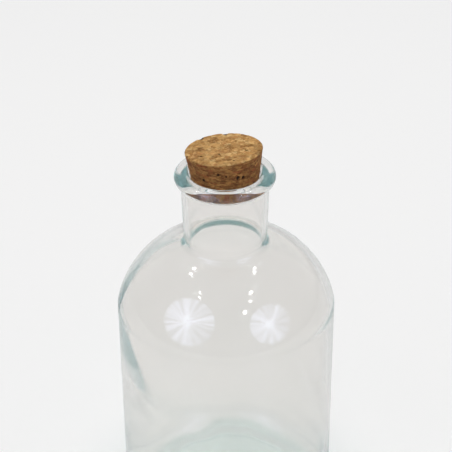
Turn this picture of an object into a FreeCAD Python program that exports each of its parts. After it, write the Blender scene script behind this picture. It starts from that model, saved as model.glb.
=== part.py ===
import FreeCAD, Part
import math
import os
import Sketcher

os.makedirs("parts", exist_ok=True)
doc = FreeCAD.newDocument("bottle")

# ---------------------------------------------------------------- sizes
# Driving sizes in millimetres and degrees, all heights above the table.
SIZES = [
    # outside of the bottle
    ("body_radius", "55"),
    ("shoulder_height", "120.6"),
    ("corner_radius", "14.2"),
    ("crown_radius", "48.2"),
    ("shoulder_turn", "16.7"),
    ("neck_root_radius", "20.6"),
    ("neck_top_radius", "21.6"),
    ("root_fillet", "2"),
    ("heel_radius", "9"),
    ("rest_ring_radius", "40"),
    ("punt_height", "5"),
    # glass thickness
    ("wall", "3.6"),
    ("neck_wall", "2.5"),
    ("floor_wall", "5.5"),
    ("throat_round", "5"),
    # rounded ring round the mouth
    ("bottle_height", "197"),
    ("lip_outer_radius", "24.7"),
    ("mouth_radius", "17"),
    ("lip_half_height", "2.4"),
    ("lip_edge_round", "1.9"),
    # cork stopper, a tapered plug that stands a little askew
    ("cork_top_radius", "18.9"),
    ("cork_bottom_radius", "16.4"),
    ("cork_stands_out", "11.4"),
    ("cork_length", "18.8"),
    ("cork_edge", "0.7"),
    ("cork_shift_side", "0.35"),
    ("cork_shift_back", "0.16"),
    ("cork_lean_side", "-4.2"),
    ("cork_lean_back", "4.5"),
    ("cork_clearance", "0.05"),
]

# Sizes worked out from the driving ones, by formulas in the same sheet.
DERIVED = [
    ("crown_x", "=body_radius - corner_radius - (crown_radius - corner_radius)"
                " * cos(shoulder_turn * 1deg)"),
    ("crown_z", "=shoulder_height - (crown_radius - corner_radius)"
                " * sin(shoulder_turn * 1deg)"),
    ("corner_x", "=body_radius - corner_radius"),
    ("turn_x", "=crown_x + crown_radius * cos(shoulder_turn * 1deg)"),
    ("turn_z", "=crown_z + crown_radius * sin(shoulder_turn * 1deg)"),
    ("fillet_x", "=neck_root_radius + root_fillet"),
    ("fillet_z", "=crown_z + sqrt((crown_radius + root_fillet) ^ 2"
                 " - (fillet_x - crown_x) ^ 2)"),
    ("meet_x", "=crown_x + (fillet_x - crown_x) * crown_radius"
               " / (crown_radius + root_fillet)"),
    ("meet_z", "=crown_z + (fillet_z - crown_z) * crown_radius"
               " / (crown_radius + root_fillet)"),
    ("rest_edge", "=body_radius - heel_radius"),
    ("punt_radius", "=(rest_ring_radius ^ 2 + punt_height ^ 2)"
                    " / (2 * punt_height)"),
    ("punt_z", "=punt_height - punt_radius"),
    ("inner_radius", "=body_radius - wall"),
    ("inner_corner", "=corner_radius - wall"),
    ("inner_crown", "=crown_radius - wall"),
    ("inner_turn_x", "=crown_x + inner_crown * cos(shoulder_turn * 1deg)"),
    ("inner_turn_z", "=crown_z + inner_crown * sin(shoulder_turn * 1deg)"),
    ("bore_root", "=neck_root_radius - neck_wall"),
    ("bore_top", "=neck_top_radius - neck_wall"),
    ("throat_x", "=bore_root + throat_round"),
    ("throat_z", "=crown_z + sqrt((inner_crown + throat_round) ^ 2"
                 " - (throat_x - crown_x) ^ 2)"),
    ("throat_meet_x", "=crown_x + (throat_x - crown_x) * inner_crown"
                      " / (inner_crown + throat_round)"),
    ("throat_meet_z", "=crown_z + (throat_z - crown_z) * inner_crown"
                      " / (inner_crown + throat_round)"),
    ("inner_heel", "=heel_radius - wall / 2"),
    ("floor_edge_x", "=inner_radius - inner_heel"),
    ("floor_edge_z", "=floor_wall"),
    ("floor_heel_z", "=floor_edge_z + inner_heel"),
    ("floor_top_z", "=punt_height + floor_wall"),
    ("floor_radius", "=(floor_edge_x ^ 2 + (floor_top_z - floor_edge_z) ^ 2)"
                     " / (2 * (floor_top_z - floor_edge_z))"),
    ("floor_z", "=floor_top_z - floor_radius"),
    ("lip_z", "=bottle_height - lip_half_height"),
    ("lip_x", "=(lip_outer_radius + mouth_radius) / 2"),
    ("lip_half_width", "=(lip_outer_radius - mouth_radius) / 2"),
    ("lip_reach", "=lip_half_width - lip_edge_round"),
    ("lip_rise", "=lip_half_height - lip_edge_round"),
    ("lip_drop", "=(lip_reach ^ 2 - lip_rise ^ 2) / (2 * lip_rise)"),
    ("lip_flat_round", "=lip_half_height + lip_drop"),
    ("lip_outer_x", "=lip_x + lip_reach"),
    ("lip_inner_x", "=lip_x - lip_reach"),
    ("cork_low_edge", "=cork_bottom_radius - cork_edge"),
    ("cork_high_edge", "=cork_top_radius - cork_edge"),
    ("cork_side_top", "=cork_length - cork_edge"),
]


def make_sheet():
    sheet = doc.addObject("Spreadsheet::Sheet", "sizes")
    for row, (alias, content) in enumerate(SIZES + DERIVED, start=1):
        sheet.set("A%d" % row, alias)
        sheet.set("B%d" % row, content)
        sheet.setAlias("B%d" % row, alias)
    doc.recompute()
    return sheet


sizes = make_sheet()


def size(name):
    return float(sizes.get(name))


def plane_of(body, role):
    for item in body.Origin.OriginFeatures:
        if item.Role == role:
            return item
    raise RuntimeError("no plane " + role)


def new_body(label):
    body = doc.addObject("PartDesign::Body", label)
    body.Label = label
    return body


def new_sketch(body, label):
    sketch = body.newObject("Sketcher::SketchObject", label)
    sketch.AttachmentSupport = [(plane_of(body, "XZ_Plane"), "")]
    sketch.MapMode = "FlatFace"
    return sketch


def fix_point(sketch, geo, end, names):
    # holds one end of a line or arc at the radius and height named by cells
    for kind, name in zip(("DistanceX", "DistanceY"), names):
        if name is None:
            axis = -2 if kind == "DistanceX" else -1
            sketch.addConstraint(Sketcher.Constraint("PointOnObject", geo, end, axis))
            continue
        index = sketch.addConstraint(
            Sketcher.Constraint(kind, -1, 1, geo, end, size(name)))
        sketch.setExpression("Constraints[%d]" % index, "sizes." + name)


def place(names):
    # position in the sketch of a corner given by its two cell names
    values = [0.0 if name is None else size(name) for name in names]
    return FreeCAD.Vector(values[0], values[1], 0)


def draw_profile(sketch, corners, arcs):
    # corners: cell names (radius, height) in order round a closed outline
    # arcs: {side number: (centre cells, radius cell)}, other sides are straight
    count = len(corners)
    for side in range(count):
        start = place(corners[side])
        stop = place(corners[(side + 1) % count])
        if side not in arcs:
            sketch.addGeometry(Part.LineSegment(start, stop), False)
            continue
        centre = place(arcs[side][0])
        first = math.atan2(start.y - centre.y, start.x - centre.x)
        last = math.atan2(stop.y - centre.y, stop.x - centre.x)
        if (last - first) % (2 * math.pi) > math.pi:
            first, last = last, first
        circle = Part.Circle(centre, FreeCAD.Vector(0, 0, 1), size(arcs[side][1]))
        sketch.addGeometry(Part.ArcOfCircle(circle, first, last), False)
    for side in range(count):
        after = (side + 1) % count
        first = end_at(sketch, side, place(corners[after]))
        second = end_at(sketch, after, place(corners[after]))
        sketch.addConstraint(
            Sketcher.Constraint("Coincident", side, first, after, second))
        fix_point(sketch, after, second, corners[after])
    for side, (_, radius_name) in arcs.items():
        index = sketch.addConstraint(
            Sketcher.Constraint("Radius", side, size(radius_name)))
        sketch.setExpression("Constraints[%d]" % index, "sizes." + radius_name)


def end_at(sketch, geo, point):
    # 1 or 2: which end of the line or arc lies at the point
    shape = sketch.Geometry[geo]
    near = (shape.StartPoint - point).Length <= (shape.EndPoint - point).Length
    return 1 if near else 2


def turn_round(body, kind, sketch, label):
    # full turn of the sketch about the upright axis
    feature = body.newObject(kind, label)
    feature.Profile = sketch
    feature.ReferenceAxis = (sketch, ["V_Axis"])
    feature.Angle = 360
    doc.recompute()
    return feature


# ---------------------------------------------------------------- glass bottle
def make_bottle():
    body = new_body("glass_bottle")

    outside = new_sketch(body, "outside_profile")
    draw_profile(outside, [
        (None, "punt_height"),
        ("rest_ring_radius", None),
        ("rest_edge", None),
        ("body_radius", "heel_radius"),
        ("body_radius", "shoulder_height"),
        ("turn_x", "turn_z"),
        ("meet_x", "meet_z"),
        ("neck_root_radius", "fillet_z"),
        ("neck_top_radius", "lip_z"),
        (None, "lip_z"),
    ], {
        0: ((None, "punt_z"), "punt_radius"),
        2: (("rest_edge", "heel_radius"), "heel_radius"),
        4: (("corner_x", "shoulder_height"), "corner_radius"),
        5: (("crown_x", "crown_z"), "crown_radius"),
        6: (("fillet_x", "fillet_z"), "root_fillet"),
    })
    solid = turn_round(body, "PartDesign::Revolution", outside, "outside")
    before = solid.Shape.Volume

    inside = new_sketch(body, "inside_profile")
    draw_profile(inside, [
        (None, "floor_top_z"),
        ("floor_edge_x", "floor_edge_z"),
        ("inner_radius", "floor_heel_z"),
        ("inner_radius", "shoulder_height"),
        ("inner_turn_x", "inner_turn_z"),
        ("throat_meet_x", "throat_meet_z"),
        ("bore_root", "throat_z"),
        ("bore_top", "bottle_height"),
        (None, "bottle_height"),
    ], {
        0: ((None, "floor_z"), "floor_radius"),
        1: (("floor_edge_x", "floor_heel_z"), "inner_heel"),
        3: (("corner_x", "shoulder_height"), "inner_corner"),
        4: (("crown_x", "crown_z"), "inner_crown"),
        5: (("throat_x", "throat_z"), "throat_round"),
    })
    hollow = turn_round(body, "PartDesign::Groove", inside, "inside")
    if hollow.Shape.Volume > 0.5 * before:
        raise RuntimeError("the inside was not cut")

    ring = new_sketch(body, "lip_profile")
    draw_oval(ring, None)
    lip = turn_round(body, "PartDesign::Revolution", ring, "lip")
    if lip.Shape.Volume <= hollow.Shape.Volume:
        raise RuntimeError("the lip was not added")
    return body


def draw_oval(sketch, spread):
    # rounded section of the mouth ring: two tight ends, flatter top and bottom
    extra = size(spread) if spread else 0.0
    tail = " + sizes." + spread if spread else ""
    reach = size("lip_reach")
    drop = size("lip_drop")
    turn = math.atan2(drop, reach)

    def arc(x, z, radius_name, start, stop):
        centre = FreeCAD.Vector(size("lip_x") + x, size("lip_z") + z, 0)
        up = FreeCAD.Vector(0, 0, 1)
        circle = Part.Circle(centre, up, size(radius_name) + extra)
        sketch.addGeometry(Part.ArcOfCircle(circle, start, stop), False)

    arc(reach, 0, "lip_edge_round", -turn, turn)
    arc(0, -drop, "lip_flat_round", turn, math.pi - turn)
    arc(-reach, 0, "lip_edge_round", math.pi - turn, math.pi + turn)
    arc(0, drop, "lip_flat_round", math.pi + turn, 2 * math.pi - turn)
    for side in range(4):
        after = (side + 1) % 4
        sketch.addConstraint(Sketcher.Constraint("Tangent", side, 2, after, 1))
    sketch.addConstraint(Sketcher.Constraint("Equal", 0, 2))
    sketch.addConstraint(Sketcher.Constraint("Equal", 1, 3))
    for geo, name in ((0, "lip_edge_round"), (1, "lip_flat_round")):
        index = sketch.addConstraint(
            Sketcher.Constraint("Radius", geo, size(name) + extra))
        sketch.setExpression("Constraints[%d]" % index, "sizes." + name + tail)
    fix_point(sketch, 0, 3, ("lip_outer_x", "lip_z"))
    fix_point(sketch, 2, 3, ("lip_inner_x", "lip_z"))


# ---------------------------------------------------------------- cork stopper
def make_cork():
    blank = new_body("cork_blank")
    outline = new_sketch(blank, "cork_profile")
    draw_profile(outline, [
        (None, None),
        ("cork_low_edge", None),
        ("cork_bottom_radius", "cork_edge"),
        ("cork_top_radius", "cork_side_top"),
        ("cork_high_edge", "cork_length"),
        (None, "cork_length"),
    ], {})
    turn_round(blank, "PartDesign::Revolution", outline, "cork_taper")
    blank.Placement = leaning_place()

    # the glass ring squeezes the cork where the leaning plug meets the mouth
    squeeze = new_body("mouth_ring_space")
    ring = new_sketch(squeeze, "mouth_ring_profile")
    draw_oval(ring, "cork_clearance")
    turn_round(squeeze, "PartDesign::Revolution", ring, "mouth_ring")

    cork = doc.addObject("Part::Cut", "cork_stopper")
    cork.Label = "cork_stopper"
    cork.Base = blank
    cork.Tool = squeeze
    doc.recompute()
    if cork.Shape.Volume >= blank.Shape.Volume:
        raise RuntimeError("the cork does not touch the mouth")
    return cork


def leaning_place():
    # the plug's own axis crosses the mouth plane near its centre
    side = math.tan(math.radians(size("cork_lean_side")))
    back = math.tan(math.radians(size("cork_lean_back")))
    axis = FreeCAD.Vector(side, back, 1)
    axis.normalize()
    depth = size("cork_length") - size("cork_stands_out")
    mouth = FreeCAD.Vector(size("cork_shift_side"), size("cork_shift_back"),
                           size("bottle_height"))
    turn = FreeCAD.Rotation(FreeCAD.Vector(0, 0, 1), axis)
    return FreeCAD.Placement(mouth - axis * depth, turn)


# ---------------------------------------------------------------- write
def check_and_write(nodes):
    doc.recompute()
    for item in doc.Objects:
        if "Invalid" in item.State or "Error" in item.State:
            raise RuntimeError("not built: " + item.Label)
    for node in nodes:
        shape = node.Shape
        if shape.isNull() or not shape.isValid() or len(shape.Solids) != 1:
            raise RuntimeError("bad solid: " + node.Label)
        shape.exportStep("parts/" + node.Label + ".step")
        print(node.Label, "volume cm3", round(shape.Volume / 1000, 2))


check_and_write([make_bottle(), make_cork()])
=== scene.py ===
import math

import bpy
from mathutils import Matrix, Vector


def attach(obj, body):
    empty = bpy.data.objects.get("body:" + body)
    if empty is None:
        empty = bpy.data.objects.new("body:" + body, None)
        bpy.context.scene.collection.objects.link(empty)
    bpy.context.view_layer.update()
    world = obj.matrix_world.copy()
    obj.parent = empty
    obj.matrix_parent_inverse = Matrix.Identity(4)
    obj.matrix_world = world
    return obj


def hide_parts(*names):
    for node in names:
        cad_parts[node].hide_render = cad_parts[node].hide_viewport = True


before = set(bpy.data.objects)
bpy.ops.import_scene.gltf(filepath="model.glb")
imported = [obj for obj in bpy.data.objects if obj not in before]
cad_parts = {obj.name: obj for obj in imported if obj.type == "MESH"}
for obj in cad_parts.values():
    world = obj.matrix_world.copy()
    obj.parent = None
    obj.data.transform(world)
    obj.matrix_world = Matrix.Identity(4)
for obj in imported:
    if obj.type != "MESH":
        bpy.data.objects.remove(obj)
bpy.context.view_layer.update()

# ------------------------------------------------------------------ sizes
# Metres, heights above the table, the bottle's axis at x = y = 0.
MM = 0.001

# body and dome
BOTTLE_HEIGHT = 197 * MM
BODY_RADIUS = 55 * MM
SHOULDER_HEIGHT = 120.6 * MM
CORNER_RADIUS = 14.2 * MM
CROWN_RADIUS = 48.2 * MM
SHOULDER_TURN = math.radians(16.7)
HEEL_RADIUS = 9 * MM
REST_RING_RADIUS = 40 * MM
PUNT_HEIGHT = 5 * MM

# neck and mouth ring
NECK_ROOT_RADIUS = 20.6 * MM
NECK_TOP_RADIUS = 21.6 * MM
ROOT_FILLET = 3 * MM
LIP_OUTER_RADIUS = 24.7 * MM
LIP_OUTER_ROUND = 2.9 * MM
LIP_INNER_ROUND = 2.2 * MM
LIP_DROP = 0.2 * MM
MOUTH_RADIUS = 17 * MM
SEAT_DEPTH = 3.1 * MM
LIP_THROAT = 2.9 * MM

# wall and hollow
WALL = 3.6 * MM
NECK_WALL = 2.5 * MM
FLOOR_WALL = 5.5 * MM
THROAT_ROUND = 6 * MM
INNER_RADIUS = BODY_RADIUS - WALL
INNER_CORNER = CORNER_RADIUS - WALL
INNER_CROWN = CROWN_RADIUS - WALL
INNER_HEEL = HEEL_RADIUS - WALL / 2
BORE_ROOT_RADIUS = NECK_ROOT_RADIUS - NECK_WALL
BORE_TOP_RADIUS = NECK_TOP_RADIUS - NECK_WALL

# Blown glass is uneven: a shallow trough winds down the inner wall, from high at
# the back left round to the front, with a low ridge behind it, and the lower wall
# is thinner and gently wavy. Turns are degrees from the front, + to the left.
# Each pair says where a change begins and where it is complete.
TROUGH_DEPTH = 1.6 * MM
TROUGH_WIDTH = 22 * MM
TROUGH_LOW = 99 * MM
TROUGH_CLIMB = 52 * MM
CLIMB_TURNS = (15, 150)
TROUGH_BEGINS = (10, 62)
TROUGH_ENDS = (80, 94)
TROUGH_SHALLOWS = (45, 72)
SHALLOWS_BY = 0.45
RIDGE_HEIGHT = 1.0 * MM
RIDGE_BEGINS = (92, 106)
RIDGE_ENDS = (125, 145)
FOOT_EVEN = (10 * MM, 30 * MM)
THINNING = 1.2 * MM
THINNING_FADES = (40 * MM, 85 * MM)
WAVE_DEPTH = 0.6 * MM
WAVES_AROUND = 5
WAVES_FADE = (90 * MM, 118 * MM)
LEFT_WAVES_FADE = (70 * MM, 88 * MM)
FRONT_WAVES_END = (0, 15)
BACK_WAVES_BEGIN = (150, 165)
FINE_DRAWN_FROM = 70 * MM

# cork stopper, made upright on its foot and then set in the mouth
CORK_TOP_RADIUS = 18.9 * MM
CORK_BOTTOM_RADIUS = 16.5 * MM
CORK_GRIP_RADIUS = 16.95 * MM
CORK_EDGE = 0.5 * MM
CORK_LENGTH = 18.7 * MM
CORK_STANDS_OUT = 11.36 * MM
CORK_GRIP_DROP = 0.8 * MM
CORK_IN_MOUTH = CORK_LENGTH - CORK_STANDS_OUT
CORK_GRIP_HEIGHT = CORK_IN_MOUTH - CORK_GRIP_DROP
CORK_TAPER = (CORK_TOP_RADIUS - CORK_GRIP_RADIUS) / (CORK_LENGTH - CORK_GRIP_HEIGHT)
CORK_SHIFT = (0.35 * MM, 0.16 * MM)
CORK_LEAN = (math.radians(-4.2), math.radians(4.5))
SANDED_DEPTH = 0.3 * MM

# Torn-out granules, dug in and painted dark inside as shade: turn in degrees (0 in
# front,
# + to the right), distance down from the top face, distance in from the side and
#   size, all in mm.
PITS = ((-142, 0.3, 0.4, 1.9), (178, 0.2, 0.5, 1.8), (-72, 0.4, 0.1, 1.2),
        (22, 7.4, 0.0, 1.5), (31, 7.7, 0.0, 1.3), (-9, 5.0, 0.0, 1.1),
        (3, 6.0, 0.0, 0.9), (-35, 9.0, 0.0, 1.2), (55, 3.6, 0.0, 0.9),
        (118, 5.2, 0.0, 1.6), (-118, 7.9, 0.0, 1.4), (160, 8.1, 0.0, 1.3),
        (-60, 0.0, 6.5, 1.0), (75, 0.0, 7.5, 1.3), (-150, 0.0, 9.0, 0.9),
        (20, 0.0, 4.5, 1.0), (135, 0.0, 5.0, 0.8), (-20, 0.0, 13.0, 0.8))
# depth of a pit as a share of its size
PIT_DEPTH = 0.54

# browns of the granules on the sanded top and on the rougher side; the side browns
# are darker, partly the cork's own colour and partly painted shade where less light
# falls on the side
TOP_BROWNS = ("#B98F56", "#C8A066", "#A67A46", "#D4B078", "#B48850", "#8A6034",
              "#C29860", "#AC7A48")
SIDE_BROWNS_AND_PAINTED_SHADE = ("#A87644", "#B8844A", "#8E5E34", "#C49054", "#9C6638", "#744626",
               "#AC7842", "#A46038")

# ------------------------------------------------------------------ studio
# Around: degrees from the front, + to the right. Height: degrees above level.
# Spread: half the angle a lamp fills, in degrees, seen from the bottle.
AIM_HEIGHT = 137 * MM

# two umbrellas: around, height, spread
UMBRELLAS = {"umbrella_left": (-45.3, 30, 27), "umbrella_right": (50.7, 24, 22)}
UMBRELLA_DISTANCE = 1.3
UMBRELLA_GLOW = 6.0
# brightness of the cloth at places from its rim (0) to its middle (1)
UMBRELLA_LEVELS = ((0.03, 0.3), (0.3, 0.34), (0.7, 0.42), (0.88, 0.7))
FOLD_DARK = 0.4
FOLD_LIGHT = 1.6

# a soft lamp overhead: around, height, distance, spread
OVERHEAD = (180, 85, 2.4, 19)
OVERHEAD_GLOW = 5.3

# small ceiling lamps: around, height, spread
CEILING_SPOTS = ((-117, 61, 1.3), (-132, 60.5, 1.3), (134, 62, 1.1),
                 (123.5, 65, 1.1), (-62, 64, 0.9), (-54, 59.5, 1.1),
                 (61, 64.5, 1.4), (45.5, 57.5, 1.1), (27, 47.5, 1.4))
CEILING_DISTANCE = 2.0
CEILING_GLOW = 60.0

# brightness of the room: as it lights matt surfaces, as the glass mirrors it in
# front, behind and overhead, and as it is seen through the glass
ROOM_LIGHT = 0.37
ROOM_FRONT = 0.08
ROOM_BACK = 0.85
ROOM_TOP = 0.3
ROOM_THROUGH = 0.75

# floor, and how much it is lifted where it is seen directly and through glass; the
# smaller lift through glass is painted shade for the bottle's shadow on the floor
# behind it
FLOOR_SIZE = 8.0
FLOOR_LIFT = 0.19
FLOOR_LIFT_THROUGH = 0.06

# camera: lens and sensor in mm; the mouth's middle stands off the view's middle
LENS = 116.28
SENSOR = 36
CAMERA_PITCH = math.radians(31.8)
CAMERA_ROLL = math.radians(-0.51)
CAMERA_DISTANCE = 0.7032
MOUTH_ACROSS = -0.53 * MM
MOUTH_ABOVE = 26.78 * MM

# light runs far along inside the glass before it comes out again
LIGHT_BOUNCES = 200


# ------------------------------------------------------------------ helpers
def linear(hexcode):
    # sRGB hex colour to the linear values the shaders use
    channels = [int(hexcode[i:i + 2], 16) / 255 for i in (1, 3, 5)]
    return tuple(c / 12.92 if c <= 0.04045 else ((c + 0.055) / 1.055) ** 2.4
                 for c in channels) + (1.0,)


def add_node(tree, kind, inputs=None, **settings):
    # one shader node; inputs are plain values or another node's output socket
    node = tree.nodes.new(kind)
    for name, value in settings.items():
        setattr(node, name, value)
    for name, value in (inputs or {}).items():
        if isinstance(value, bpy.types.NodeSocket):
            tree.links.new(value, node.inputs[name])
        else:
            node.inputs[name].default_value = value
    return node


def new_material(name):
    material = bpy.data.materials.new(name)
    material.use_nodes = True
    material.node_tree.nodes.clear()
    return material, material.node_tree


def deselect():
    bpy.ops.object.select_all(action="DESELECT")


def bump(distance, width):
    # smooth hill: 1 at its middle, 0 from the given width on
    away = abs(distance) / width
    return 0.0 if away >= 1 else (1 - away * away) ** 2


def smooth(value, low, high):
    # 0 below low, 1 above high, eased between them
    share = max(0.0, min(1.0, (value - low) / (high - low)))
    return share * share * (3 - 2 * share)


def direction(around, height):
    # unit vector from the bottle towards a place in the studio
    around = math.radians(around)
    height = math.radians(height)
    return Vector((math.sin(around) * math.cos(height),
                   -math.cos(around) * math.cos(height), math.sin(height)))


def arc_points(centre, radius, start, stop, steps):
    # points on a circle in the (radius, height) plane, both ends included
    return [(centre[0] + radius * math.cos(start + (stop - start) * i / steps),
             centre[1] + radius * math.sin(start + (stop - start) * i / steps))
            for i in range(steps + 1)]


def line_points(start, stop, steps):
    return [(start[0] + (stop[0] - start[0]) * i / steps,
             start[1] + (stop[1] - start[1]) * i / steps)
            for i in range(steps + 1)]


def joined(*runs):
    # one outline from several, without the doubled corners
    outline = []
    for run in runs:
        for point in run:
            if not outline or math.dist(outline[-1], point) > 1e-6:
                outline.append(point)
    return outline


def mark_inside(piece, outline, inside_from):
    # vertex group of the drawn points that belong to the inner surface
    bpy.ops.object.mode_set(mode="OBJECT")
    group = piece.vertex_groups.new(name="inside")
    group.add(list(range(inside_from, len(outline))), 1.0, "REPLACE")
    bpy.ops.object.mode_set(mode="EDIT")


def spin_outline(name, outline, steps, inside_from=None):
    # draws the outline point by point in the XZ plane, then spins it full turn;
    # points from inside_from on go into the vertex group "inside"
    deselect()
    bpy.ops.mesh.primitive_plane_add(size=MM, location=(0, 0, 0))
    piece = bpy.context.object
    piece.name = name
    bpy.ops.object.mode_set(mode="EDIT")
    bpy.ops.mesh.select_all(action="SELECT")
    bpy.ops.mesh.merge(type="CENTER")
    radius, height = outline[0]
    bpy.ops.transform.translate(value=(radius, 0, height))
    for before, after in zip(outline, outline[1:]):
        step = (after[0] - before[0], 0, after[1] - before[1])
        bpy.ops.mesh.extrude_vertices_move(TRANSFORM_OT_translate={"value": step})
    if inside_from is not None:
        mark_inside(piece, outline, inside_from)
    bpy.ops.mesh.select_all(action="SELECT")
    bpy.ops.mesh.spin(steps=steps, angle=2 * math.pi, center=(0, 0, 0),
                      axis=(0, 0, 1))
    bpy.ops.mesh.select_all(action="SELECT")
    bpy.ops.mesh.remove_doubles(threshold=0.02 * MM)
    bpy.ops.mesh.normals_make_consistent(inside=False)
    bpy.ops.object.mode_set(mode="OBJECT")
    bpy.ops.object.shade_smooth()
    return piece


# ------------------------------------------------------------------ glass bottle
def glass_material():
    # Blown recycled glass: smooth and clear, a faint green-blue that only thick
    # places show, with soft reflections. Its shadow is pale.
    glass, tree = new_material("recycled_glass_blown")
    clear = add_node(tree, "ShaderNodeBsdfPrincipled", {
        "Base Color": linear("#FFFDFB"), "Roughness": 0.06, "IOR": 1.5,
        "Transmission Weight": 1.0})
    tint = add_node(tree, "ShaderNodeVolumeAbsorption", {
        "Color": linear("#A8D2D2"), "Density": 7.5})
    shade = add_node(tree, "ShaderNodeBsdfTransparent", {
        "Color": linear("#E8F0F0")})
    rays = add_node(tree, "ShaderNodeLightPath")
    mixed = add_node(tree, "ShaderNodeMixShader", {
        0: rays.outputs["Is Shadow Ray"], 1: clear.outputs[0], 2: shade.outputs[0]})
    add_node(tree, "ShaderNodeOutputMaterial", {
        "Surface": mixed.outputs[0], "Volume": tint.outputs[0]})
    return glass


def shoulder_arcs(side_radius, corner_radius, crown_radius):
    # centres of the two arcs that make a dome on an upright side wall
    corner = (side_radius - corner_radius, SHOULDER_HEIGHT)
    reach = crown_radius - corner_radius
    crown = (corner[0] - reach * math.cos(SHOULDER_TURN),
             corner[1] - reach * math.sin(SHOULDER_TURN))
    return corner, crown


def neck_rounding(crown, crown_radius, neck_radius, radius):
    # centre of the circle that touches the dome and the upright neck, and the
    # angle at which it meets the dome
    across = neck_radius + radius
    height = crown[1] + math.sqrt((crown_radius + radius) ** 2
                                  - (across - crown[0]) ** 2)
    dome_angle = math.atan2(height - crown[1], across - crown[0])
    return (across, height), dome_angle


def bowl_arc(edge, top, steps):
    # shallow dome from its edge point up to the axis
    rise = top - edge[1]
    radius = (edge[0] ** 2 + rise ** 2) / (2 * rise)
    centre = (0, top - radius)
    edge_angle = math.atan2(edge[1] - centre[1], edge[0])
    return arc_points(centre, radius, edge_angle, math.pi / 2, steps)


def lip_arcs():
    # mouth ring, from under its fat outer bead over the top to the tighter
    # rounding at the mouth and down into the bore
    outer = (LIP_OUTER_RADIUS - LIP_OUTER_ROUND, BOTTLE_HEIGHT - LIP_OUTER_ROUND)
    inner = (MOUTH_RADIUS + LIP_INNER_ROUND,
             BOTTLE_HEIGHT - LIP_DROP - LIP_INNER_ROUND)
    # the straight run over the top touches both roundings
    run = math.dist(outer, inner)
    slope = math.atan2(outer[1] - inner[1], outer[0] - inner[0])
    touch = math.pi / 2 + slope + math.asin((LIP_OUTER_ROUND - LIP_INNER_ROUND) / run)
    under = -math.acos((NECK_TOP_RADIUS - outer[0]) / LIP_OUTER_ROUND)
    return joined(
        arc_points(outer, LIP_OUTER_ROUND, under, touch, 30),
        arc_points(inner, LIP_INNER_ROUND, touch, math.pi, 12),
        throat_of_lip(inner[1], 18))


def throat_of_lip(height, steps):
    # straight seat that grips the cork, then a smooth widening to the bore
    seat = BOTTLE_HEIGHT - SEAT_DEPTH
    run = line_points((MOUTH_RADIUS, height), (MOUTH_RADIUS, seat), 4)
    for index in range(1, steps + 1):
        share = index / steps
        widening = (BORE_TOP_RADIUS - MOUTH_RADIUS) * smooth(share, 0, 1)
        run.append((MOUTH_RADIUS + widening, seat - LIP_THROAT * share))
    return run


def outside_outline(lip):
    # from the axis under the raised middle, up the wall and over the mouth ring
    corner, crown = shoulder_arcs(BODY_RADIUS, CORNER_RADIUS, CROWN_RADIUS)
    fillet, dome_angle = neck_rounding(crown, CROWN_RADIUS, NECK_ROOT_RADIUS,
                                       ROOT_FILLET)
    heel = (BODY_RADIUS - HEEL_RADIUS, HEEL_RADIUS)
    return joined(
        bowl_arc((REST_RING_RADIUS, 0), PUNT_HEIGHT, 20)[::-1],
        line_points((REST_RING_RADIUS, 0), (heel[0], 0), 3),
        arc_points(heel, HEEL_RADIUS, -math.pi / 2, 0, 12),
        line_points((BODY_RADIUS, heel[1]), (BODY_RADIUS, SHOULDER_HEIGHT), 30),
        arc_points(corner, CORNER_RADIUS, 0, SHOULDER_TURN, 6),
        arc_points(crown, CROWN_RADIUS, SHOULDER_TURN, dome_angle, 40),
        arc_points(fillet, ROOT_FILLET, dome_angle + math.pi, math.pi, 8),
        line_points((NECK_ROOT_RADIUS, fillet[1]), lip[0], 14),
        lip)


def inside_outline(lip):
    # from the bore down the wall to the axis; drawn finer where the trough runs
    corner, crown = shoulder_arcs(INNER_RADIUS, INNER_CORNER, INNER_CROWN)
    throat, dome_angle = neck_rounding(crown, INNER_CROWN, BORE_ROOT_RADIUS,
                                       THROAT_ROUND)
    heel = (INNER_RADIUS - INNER_HEEL, FLOOR_WALL + INNER_HEEL)
    middle = (INNER_RADIUS, FINE_DRAWN_FROM)
    return joined(
        line_points(lip[-1], (BORE_ROOT_RADIUS, throat[1]), 16),
        arc_points(throat, THROAT_ROUND, math.pi, dome_angle + math.pi, 8),
        arc_points(crown, INNER_CROWN, dome_angle, SHOULDER_TURN, 50),
        arc_points(corner, INNER_CORNER, SHOULDER_TURN, 0, 8),
        line_points((INNER_RADIUS, SHOULDER_HEIGHT), middle, 50),
        line_points(middle, (INNER_RADIUS, heel[1]), 16),
        arc_points(heel, INNER_HEEL, 0, -math.pi / 2, 10),
        bowl_arc((heel[0], FLOOR_WALL), PUNT_HEIGHT + FLOOR_WALL, 20))


def turn_of(point):
    return math.degrees(math.atan2(-point.x, -point.y))


def trough_at(point, radius):
    # how much thinner the trough makes the wall at a point of the inner wall
    turn = turn_of(point)
    height = TROUGH_LOW + TROUGH_CLIMB * smooth(turn, *CLIMB_TURNS)
    ahead = TROUGH_LOW + TROUGH_CLIMB * smooth(turn + 1, *CLIMB_TURNS)
    slope = (ahead - height) / (radius * math.radians(1))
    gap = (point.z - height) / math.hypot(1, slope)
    thin = smooth(turn, *TROUGH_BEGINS) * (1 - smooth(turn, *TROUGH_ENDS))
    thin *= 1 - SHALLOWS_BY * smooth(turn, *TROUGH_SHALLOWS)
    thick = smooth(turn, *RIDGE_BEGINS) * (1 - smooth(turn, *RIDGE_ENDS))
    return bump(gap, TROUGH_WIDTH) * (TROUGH_DEPTH * thin - RIDGE_HEIGHT * thick)


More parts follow.
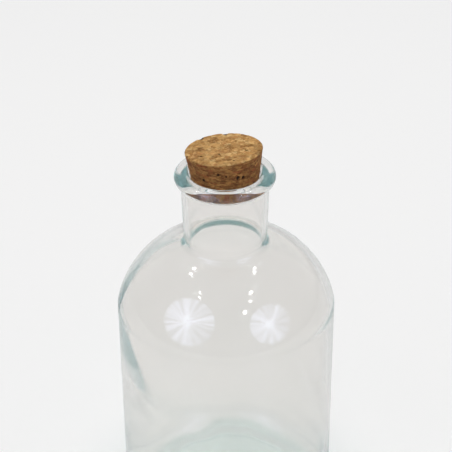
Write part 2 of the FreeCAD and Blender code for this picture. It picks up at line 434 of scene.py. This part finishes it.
def waves_at(point):
    # how much thinner the waves and the thin lower wall make it there; the right
    # side has no waves, the left side has them low down
    turn = turn_of(point)
    aside = smooth(abs(turn), *FRONT_WAVES_END)
    aside *= 1 - smooth(abs(turn), *BACK_WAVES_BEGIN)
    still = aside * (smooth(point.z, *LEFT_WAVES_FADE) if turn > 0 else 1)
    wave = math.sin(math.radians(turn) * WAVES_AROUND) * (1 - still)
    wave *= 1 - smooth(point.z, *WAVES_FADE)
    thinner = 1 - smooth(point.z, *THINNING_FADES)
    return smooth(point.z, *FOOT_EVEN) * (WAVE_DEPTH * wave + THINNING * thinner)


def shape_inner_wall(bottle):
    # moves the inner surface outwards or inwards; the outer one stays true
    group = bottle.vertex_groups["inside"].index
    for vertex in bottle.data.vertices:
        if group not in [part.group for part in vertex.groups]:
            continue
        radius = math.hypot(vertex.co.x, vertex.co.y)
        if radius < 1 * MM:
            continue
        outward = Vector((vertex.co.x, vertex.co.y, 0)) / radius
        vertex.co += outward * (trough_at(vertex.co, radius) + waves_at(vertex.co))


def make_bottle():
    lip = lip_arcs()
    outside = outside_outline(lip)
    outline = joined(outside, inside_outline(lip))
    bottle = spin_outline("glass_bottle_blown", outline, 240, len(outside))
    shape_inner_wall(bottle)
    bottle.data.materials.append(glass_material())
    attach(bottle, "root")
    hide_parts("glass_bottle")


# ------------------------------------------------------------------ cork stopper
def spread_ramp(ramp, hexcodes):
    # even steps of colour along a ramp
    while len(ramp.elements) < len(hexcodes):
        ramp.elements.new(0.5)
    for index, hexcode in enumerate(hexcodes):
        ramp.elements[index].position = index / len(hexcodes)
        ramp.elements[index].color = linear(hexcode)
    ramp.interpolation = "CONSTANT"


def granule_colours(tree, where, size, browns):
    # each granule its own brown
    cells = add_node(tree, "ShaderNodeTexVoronoi", {
        "Vector": where, "Scale": 1 / size})
    pick = add_node(tree, "ShaderNodeSeparateColor", {
        "Color": cells.outputs["Color"]})
    shades = add_node(tree, "ShaderNodeValToRGB", {"Fac": pick.outputs["Red"]})
    spread_ramp(shades.color_ramp, browns)
    return shades.outputs["Color"]


def cork_material(name, browns, size, flatten, crack):
    # Pressed cork: ground bark granules glued under pressure, then sanded. Big
    # and small granules blend with ragged edges, dull, with dark seams and pits.
    cork, tree = new_material(name)
    where = add_node(tree, "ShaderNodeTexCoord")
    squash = add_node(tree, "ShaderNodeMapping", {
        "Vector": where.outputs["Object"], "Scale": (1.0, 1.0, flatten)})
    place = squash.outputs["Vector"]
    # ragged granule edges
    wander = add_node(tree, "ShaderNodeTexNoise", {
        "Vector": place, "Scale": 1 / (0.5 * size), "Detail": 6.0,
        "Roughness": 0.62})
    pull = add_node(tree, "ShaderNodeVectorMath", {
        0: wander.outputs["Color"], "Scale": 1.3 * size}, operation="SCALE")
    bent = add_node(tree, "ShaderNodeVectorMath", {
        0: place, 1: pull.outputs["Vector"]}, operation="ADD")
    ragged_place = bent.outputs["Vector"]
    # big and small granules in turn
    blend = add_node(tree, "ShaderNodeTexNoise", {
        "Vector": place, "Scale": 1 / (1.5 * MM), "Detail": 2.0})
    share = add_node(tree, "ShaderNodeMapRange", {
        "Value": blend.outputs["Fac"], "From Min": 0.4, "From Max": 0.6,
        "To Min": 0.1, "To Max": 0.6})
    colours = add_node(tree, "ShaderNodeMix", {
        0: share.outputs["Result"],
        6: granule_colours(tree, ragged_place, size, browns),
        7: granule_colours(tree, ragged_place, 0.42 * size, browns)},
        data_type="RGBA")
    # fine speckle on slowly changing patches
    grain = add_node(tree, "ShaderNodeTexNoise", {
        "Vector": place, "Scale": 1 / (0.7 * MM), "Detail": 5.0,
        "Roughness": 0.7})
    drift = add_node(tree, "ShaderNodeTexNoise", {
        "Vector": place, "Scale": 1 / (3.5 * MM), "Detail": 3.0})
    uneven = add_node(tree, "ShaderNodeMapRange", {
        "Value": drift.outputs["Fac"], "From Min": 0.35, "From Max": 0.65,
        "To Min": 0.8, "To Max": 1.2})
    speckle = add_node(tree, "ShaderNodeMapRange", {
        "Value": grain.outputs["Fac"], "From Min": 0.3, "From Max": 0.7,
        "To Min": 0.79, "To Max": 1.19})
    shade = add_node(tree, "ShaderNodeMath", {
        0: speckle.outputs["Result"], 1: uneven.outputs["Result"]},
        operation="MULTIPLY")
    grained = add_node(tree, "ShaderNodeMix", {
        0: 1.0, 6: colours.outputs[2], 7: shade.outputs[0]},
        data_type="RGBA", blend_type="MULTIPLY")
    # dark seams, open here and closed there
    edges = add_node(tree, "ShaderNodeTexVoronoi", {
        "Vector": ragged_place, "Scale": 1 / size}, feature="DISTANCE_TO_EDGE")
    opened = add_node(tree, "ShaderNodeMapRange", {
        "Value": blend.outputs["Fac"], "From Min": 0.48, "From Max": 0.62,
        "To Min": 1.0, "To Max": crack})
    seam = add_node(tree, "ShaderNodeMapRange", {
        "Value": edges.outputs["Distance"], "From Min": 0.0, "From Max": 0.14,
        "To Min": opened.outputs["Result"], "To Max": 1.0})
    seamed = add_node(tree, "ShaderNodeMix", {
        0: 1.0, 6: grained.outputs[2], 7: seam.outputs["Result"]},
        data_type="RGBA", blend_type="MULTIPLY")
    # dark crumbs, and painted shade in the dug pits with ragged rims
    patches = add_node(tree, "ShaderNodeTexNoise", {
        "Vector": place, "Scale": 1 / (2.4 * MM), "Detail": 4.0,
        "Roughness": 0.65})
    crumbs = add_node(tree, "ShaderNodeMapRange", {
        "Value": patches.outputs["Fac"], "From Min": 0.66, "From Max": 0.72})
    pit_shade_mask = add_node(tree, "ShaderNodeAttribute", attribute_name="pit")
    ragged = add_node(tree, "ShaderNodeMath", {
        0: pit_shade_mask.outputs["Fac"], 1: grain.outputs["Fac"]}, operation="MULTIPLY")
    pit_shade = add_node(tree, "ShaderNodeMapRange", {
        "Value": ragged.outputs[0], "From Min": 0.12, "From Max": 0.4})
    dark = add_node(tree, "ShaderNodeMath", {
        0: pit_shade.outputs["Result"], 1: crumbs.outputs["Result"]}, operation="MAXIMUM")
    # near-black brown: the cork's own dark crumbs, and painted shade inside the pits
    crumbs_and_pit_shade = add_node(tree, "ShaderNodeMix", {
        0: dark.outputs[0], 6: seamed.outputs[2], 7: linear("#2C1A0E")},
        data_type="RGBA")
    relief = add_node(tree, "ShaderNodeMath", {
        0: seam.outputs["Result"], 1: grain.outputs["Fac"]}, operation="ADD")
    bumps = add_node(tree, "ShaderNodeBump", {
        "Height": relief.outputs[0], "Strength": 0.4, "Distance": 0.2 * MM})
    surface = add_node(tree, "ShaderNodeBsdfPrincipled", {
        "Base Color": crumbs_and_pit_shade.outputs[2], "Roughness": 0.85,
        "Specular IOR Level": 0.2, "Normal": bumps.outputs["Normal"]})
    add_node(tree, "ShaderNodeOutputMaterial", {"Surface": surface.outputs[0]})
    return cork


def dent(piece, kind, size, depth, middle, **settings):
    # small relief pushed into the surface by a procedural texture
    texture = bpy.data.textures.new(kind.lower(), kind)
    texture.noise_scale = size
    for name, value in settings.items():
        setattr(texture, name, value)
    push = piece.modifiers.new("relief", "DISPLACE")
    push.texture = texture
    push.texture_coords = "LOCAL"
    push.strength = depth
    push.mid_level = middle
    bpy.context.view_layer.objects.active = piece
    bpy.ops.object.modifier_apply(modifier=push.name)


def dig_pits(cork):
    # pushes the surface in at each pit and marks it for the painted shade the
    # material puts in the pits
    mark = cork.data.attributes.new("pit", "FLOAT", "POINT")
    middles = []
    for turn, down, inward, size in PITS:
        angle = math.radians(turn - 90)
        height = CORK_LENGTH - down * MM
        radius = CORK_TOP_RADIUS - (inward + CORK_TAPER * down) * MM
        middle = Vector((radius * math.cos(angle), radius * math.sin(angle), height))
        middles.append((middle, size * MM))
    for index, vertex in enumerate(cork.data.vertices):
        for middle, size in middles:
            away = vertex.co - middle
            if away.length >= size:
                continue
            hill = bump(away.length, size)
            mark.data[index].value = max(mark.data[index].value, hill)
            vertex.co -= vertex.normal * hill * PIT_DEPTH * size


def seat_cork(cork):
    # the squeezed plug stands upright in the mouth and the free part leans
    axis = Vector((math.tan(CORK_LEAN[0]), math.tan(CORK_LEAN[1]), 1)).normalized()
    turn = Vector((0, 0, 1)).rotation_difference(axis).to_matrix()
    mouth = Vector((*CORK_SHIFT, BOTTLE_HEIGHT))
    top = mouth + axis * CORK_STANDS_OUT
    foot = BOTTLE_HEIGHT - CORK_IN_MOUTH
    for vertex in cork.data.vertices:
        if vertex.co.z <= CORK_GRIP_HEIGHT:
            vertex.co.z += foot
            continue
        flat = Vector((vertex.co.x, vertex.co.y, 0))
        upright = flat + Vector((0, 0, foot + CORK_GRIP_HEIGHT))
        share = (vertex.co.z - CORK_GRIP_HEIGHT) / (CORK_LENGTH - CORK_GRIP_HEIGHT)
        vertex.co = upright.lerp(turn @ flat + top, share)


def make_cork():
    grip = (CORK_GRIP_RADIUS, CORK_GRIP_HEIGHT)
    outline = joined(
        line_points((0, 0), (CORK_BOTTOM_RADIUS - CORK_EDGE, 0), 20),
        line_points((CORK_BOTTOM_RADIUS, CORK_EDGE), grip, 20),
        line_points(grip, (CORK_TOP_RADIUS, CORK_LENGTH - CORK_EDGE), 32),
        line_points((CORK_TOP_RADIUS - CORK_EDGE, CORK_LENGTH), (0, CORK_LENGTH), 44))
    cork = spin_outline("cork_stopper_pressed", outline, 288)
    side = cork_material("pressed_cork_side_painted_shade", SIDE_BROWNS_AND_PAINTED_SHADE, 2.6 * MM, 2.2, 0.4)
    top = cork_material("pressed_cork_sanded_top", TOP_BROWNS, 2.4 * MM, 1.0, 0.8)
    cork.data.materials.append(side)
    cork.data.materials.append(top)
    # top faces take the lighter top browns, the side faces the darker side browns,
    # which are partly painted shade
    for face in cork.data.polygons:
        face.material_index = int(face.center.z > CORK_LENGTH - SANDED_DEPTH)
    dent(cork, "VORONOI", 1.8 * MM, 0.16 * MM, 0.7)
    dent(cork, "CLOUDS", 2.6 * MM, 0.32 * MM, 0.75, noise_depth=4)
    dig_pits(cork)
    seat_cork(cork)
    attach(cork, "root")
    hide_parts("cork_stopper")


# ------------------------------------------------------------------ stage
def floor_material():
    # Matt white paper: an even pale ground with no gloss, a little lifted where
    # it is looked at.
    paper, tree = new_material("white_paper_matt")
    surface = add_node(tree, "ShaderNodeBsdfDiffuse", {"Color": linear("#E6E6E6")})
    rays = add_node(tree, "ShaderNodeLightPath")
    direct = add_node(tree, "ShaderNodeMath", {
        0: rays.outputs["Is Camera Ray"], 1: FLOOR_LIFT}, operation="MULTIPLY")
    # seen through the glass the floor is lifted less: painted shade for the bottle's
    # shadow
    lift = add_node(tree, "ShaderNodeMath", {
        0: rays.outputs["Is Transmission Ray"], 1: FLOOR_LIFT_THROUGH,
        2: direct.outputs[0]}, operation="MULTIPLY_ADD")
    glow = add_node(tree, "ShaderNodeEmission", {
        "Color": linear("#FFFFFF"), "Strength": lift.outputs[0]})
    both = add_node(tree, "ShaderNodeAddShader", {
        0: surface.outputs[0], 1: glow.outputs[0]})
    add_node(tree, "ShaderNodeOutputMaterial", {"Surface": both.outputs[0]})
    return paper


def make_floor():
    deselect()
    bpy.ops.mesh.primitive_plane_add(size=FLOOR_SIZE, location=(0, 0, 0))
    floor = bpy.context.object
    floor.name = "floor"
    floor.data.materials.append(floor_material())


def umbrella_material(name):
    # White brolly lit from inside: brightest near its middle, faint folds.
    cloth, tree = new_material(name)
    where = add_node(tree, "ShaderNodeTexCoord")
    radial = add_node(tree, "ShaderNodeTexGradient", {
        "Vector": where.outputs["Object"]}, gradient_type="SPHERICAL")
    fall = add_node(tree, "ShaderNodeValToRGB", {"Fac": radial.outputs["Fac"]})
    ramp = fall.color_ramp
    ramp.elements[0].color = (0, 0, 0, 1)
    ramp.elements[1].color = (1, 1, 1, 1)
    for place, level in UMBRELLA_LEVELS:
        ramp.elements.new(place).color = (level, level, level, 1)
    # soft folds run out from the middle
    around = add_node(tree, "ShaderNodeVectorMath", {
        0: where.outputs["Object"]}, operation="NORMALIZE")
    folds = add_node(tree, "ShaderNodeTexNoise", {
        "Vector": around.outputs["Vector"], "Scale": 5.5, "Detail": 3.0})
    folded = add_node(tree, "ShaderNodeMapRange", {
        "Value": folds.outputs["Fac"], "From Min": 0.38, "From Max": 0.62,
        "To Min": FOLD_DARK, "To Max": FOLD_LIGHT})
    level = add_node(tree, "ShaderNodeMath", {
        0: fall.outputs["Color"], 1: folded.outputs[0]}, operation="MULTIPLY")
    # seen in the glass only: it doesn't light what lies behind the glass
    rays = add_node(tree, "ShaderNodeLightPath")
    mirrored = add_node(tree, "ShaderNodeMath", {
        0: rays.outputs["Diffuse Depth"], 1: 0.5}, operation="LESS_THAN")
    strength = add_node(tree, "ShaderNodeMath", {
        0: mirrored.outputs[0], 1: UMBRELLA_GLOW}, operation="MULTIPLY")
    power = add_node(tree, "ShaderNodeMath", {
        0: level.outputs[0], 1: strength.outputs[0]}, operation="MULTIPLY")
    glow = add_node(tree, "ShaderNodeEmission", {
        "Color": linear("#E0E6FF"), "Strength": power.outputs[0]})
    add_node(tree, "ShaderNodeOutputMaterial", {"Surface": glow.outputs[0]})
    return cloth


def make_umbrella(name, around, height, spread):
    way = direction(around, height)
    deselect()
    bpy.ops.mesh.primitive_circle_add(vertices=64, radius=1.0, fill_type="NGON")
    umbrella = bpy.context.object
    umbrella.name = name
    radius = UMBRELLA_DISTANCE * math.tan(math.radians(spread))
    umbrella.scale = (radius, radius, radius)
    umbrella.location = Vector((0, 0, AIM_HEIGHT)) + way * UMBRELLA_DISTANCE
    umbrella.rotation_euler = (-way).to_track_quat("Z", "Y").to_euler()
    umbrella.data.materials.append(umbrella_material(name + "_cloth"))
    umbrella.visible_diffuse = False


def make_lamp(name, around, height, distance, spread, glow, in_gloss):
    # round soft lamp of a given brightness, turned to face the bottle; it either
    # shows in the gloss of the glass or lights the matt surfaces
    way = direction(around, height)
    radius = distance * math.tan(math.radians(spread))
    data = bpy.data.lights.new(name, "AREA")
    data.shape = "DISK"
    data.size = 2 * radius
    data.energy = glow * math.pi ** 2 * radius ** 2
    lamp = bpy.data.objects.new(name, data)
    lamp.location = Vector((0, 0, AIM_HEIGHT)) + way * distance
    lamp.rotation_euler = (-way).to_track_quat("-Z", "Y").to_euler()
    lamp.visible_glossy = in_gloss
    lamp.visible_transmission = in_gloss
    lamp.visible_diffuse = not in_gloss
    bpy.context.collection.objects.link(lamp)


def make_lights():
    for name, (around, height, spread) in UMBRELLAS.items():
        make_umbrella(name, around, height, spread)
    make_lamp("overhead", *OVERHEAD, OVERHEAD_GLOW, False)
    for index, (around, height, spread) in enumerate(CEILING_SPOTS):
        make_lamp("ceiling_spot_%d" % index, around, height, CEILING_DISTANCE,
                  spread, CEILING_GLOW, True)


def make_room():
    world = bpy.data.worlds.new("studio")
    bpy.context.scene.world = world
    world.use_nodes = True
    tree = world.node_tree
    tree.nodes.clear()
    rays = add_node(tree, "ShaderNodeLightPath")
    walls = add_node(tree, "ShaderNodeBackground", {
        "Color": linear("#FFFFFF"), "Strength": ROOM_LIGHT})
    # what the glass mirrors: pale screens behind and beside, a dim room in
    # front and overhead
    where = add_node(tree, "ShaderNodeTexCoord")
    parts = add_node(tree, "ShaderNodeSeparateXYZ", {
        "Vector": where.outputs["Generated"]})
    back = add_node(tree, "ShaderNodeMapRange", {
        "Value": parts.outputs["Y"], "From Min": 0.0, "From Max": 0.85,
        "To Min": ROOM_FRONT, "To Max": ROOM_BACK}, interpolation_type="SMOOTHSTEP")
    high = add_node(tree, "ShaderNodeMapRange", {
        "Value": parts.outputs["Z"], "From Min": 0.2, "From Max": 0.75,
        "To Min": 1.0, "To Max": ROOM_TOP}, interpolation_type="SMOOTHSTEP")
    level = add_node(tree, "ShaderNodeMath", {
        0: back.outputs["Result"], 1: high.outputs["Result"]}, operation="MULTIPLY")
    room = add_node(tree, "ShaderNodeBackground", {
        "Color": linear("#F4F0EC"), "Strength": level.outputs[0]})
    screens = add_node(tree, "ShaderNodeBackground", {
        "Color": linear("#FFFFFF"), "Strength": ROOM_THROUGH})
    through = add_node(tree, "ShaderNodeMixShader", {
        0: rays.outputs["Is Transmission Ray"], 1: room.outputs[0],
        2: screens.outputs[0]})
    seen = add_node(tree, "ShaderNodeMixShader", {
        0: rays.outputs["Is Diffuse Ray"], 1: through.outputs[0],
        2: walls.outputs[0]})
    backdrop = add_node(tree, "ShaderNodeBackground", {
        "Color": linear("#F2F2F2"), "Strength": 1.0})
    whole = add_node(tree, "ShaderNodeMixShader", {
        0: rays.outputs["Is Camera Ray"], 1: seen.outputs[0],
        2: backdrop.outputs[0]})
    add_node(tree, "ShaderNodeOutputWorld", {"Surface": whole.outputs[0]})


def make_camera():
    # looks down at the bottle from the front; the frame cuts its foot off
    data = bpy.data.cameras.new("camera")
    data.sensor_width = SENSOR
    data.lens = LENS
    data.clip_start = 0.01
    camera = bpy.data.objects.new("camera", data)
    forward = Vector((0, math.cos(CAMERA_PITCH), -math.sin(CAMERA_PITCH)))
    level_up = Vector((0, math.sin(CAMERA_PITCH), math.cos(CAMERA_PITCH)))
    level_right = Vector((1, 0, 0))
    right = math.cos(CAMERA_ROLL) * level_right + math.sin(CAMERA_ROLL) * level_up
    up = -math.sin(CAMERA_ROLL) * level_right + math.cos(CAMERA_ROLL) * level_up
    place = (Vector((0, 0, BOTTLE_HEIGHT)) - CAMERA_DISTANCE * forward
             - MOUTH_ACROSS * right - MOUTH_ABOVE * up)
    turn = Matrix((right, up, -forward)).transposed().to_4x4()
    camera.matrix_world = Matrix.Translation(place) @ turn
    bpy.context.collection.objects.link(camera)
    bpy.context.scene.camera = camera


bpy.context.scene.view_settings.view_transform = "Standard"
bpy.context.scene.cycles.max_bounces = LIGHT_BOUNCES
bpy.context.scene.cycles.glossy_bounces = LIGHT_BOUNCES
bpy.context.scene.cycles.transmission_bounces = LIGHT_BOUNCES
make_bottle()
make_cork()
make_floor()
make_lights()
make_room()
make_camera()
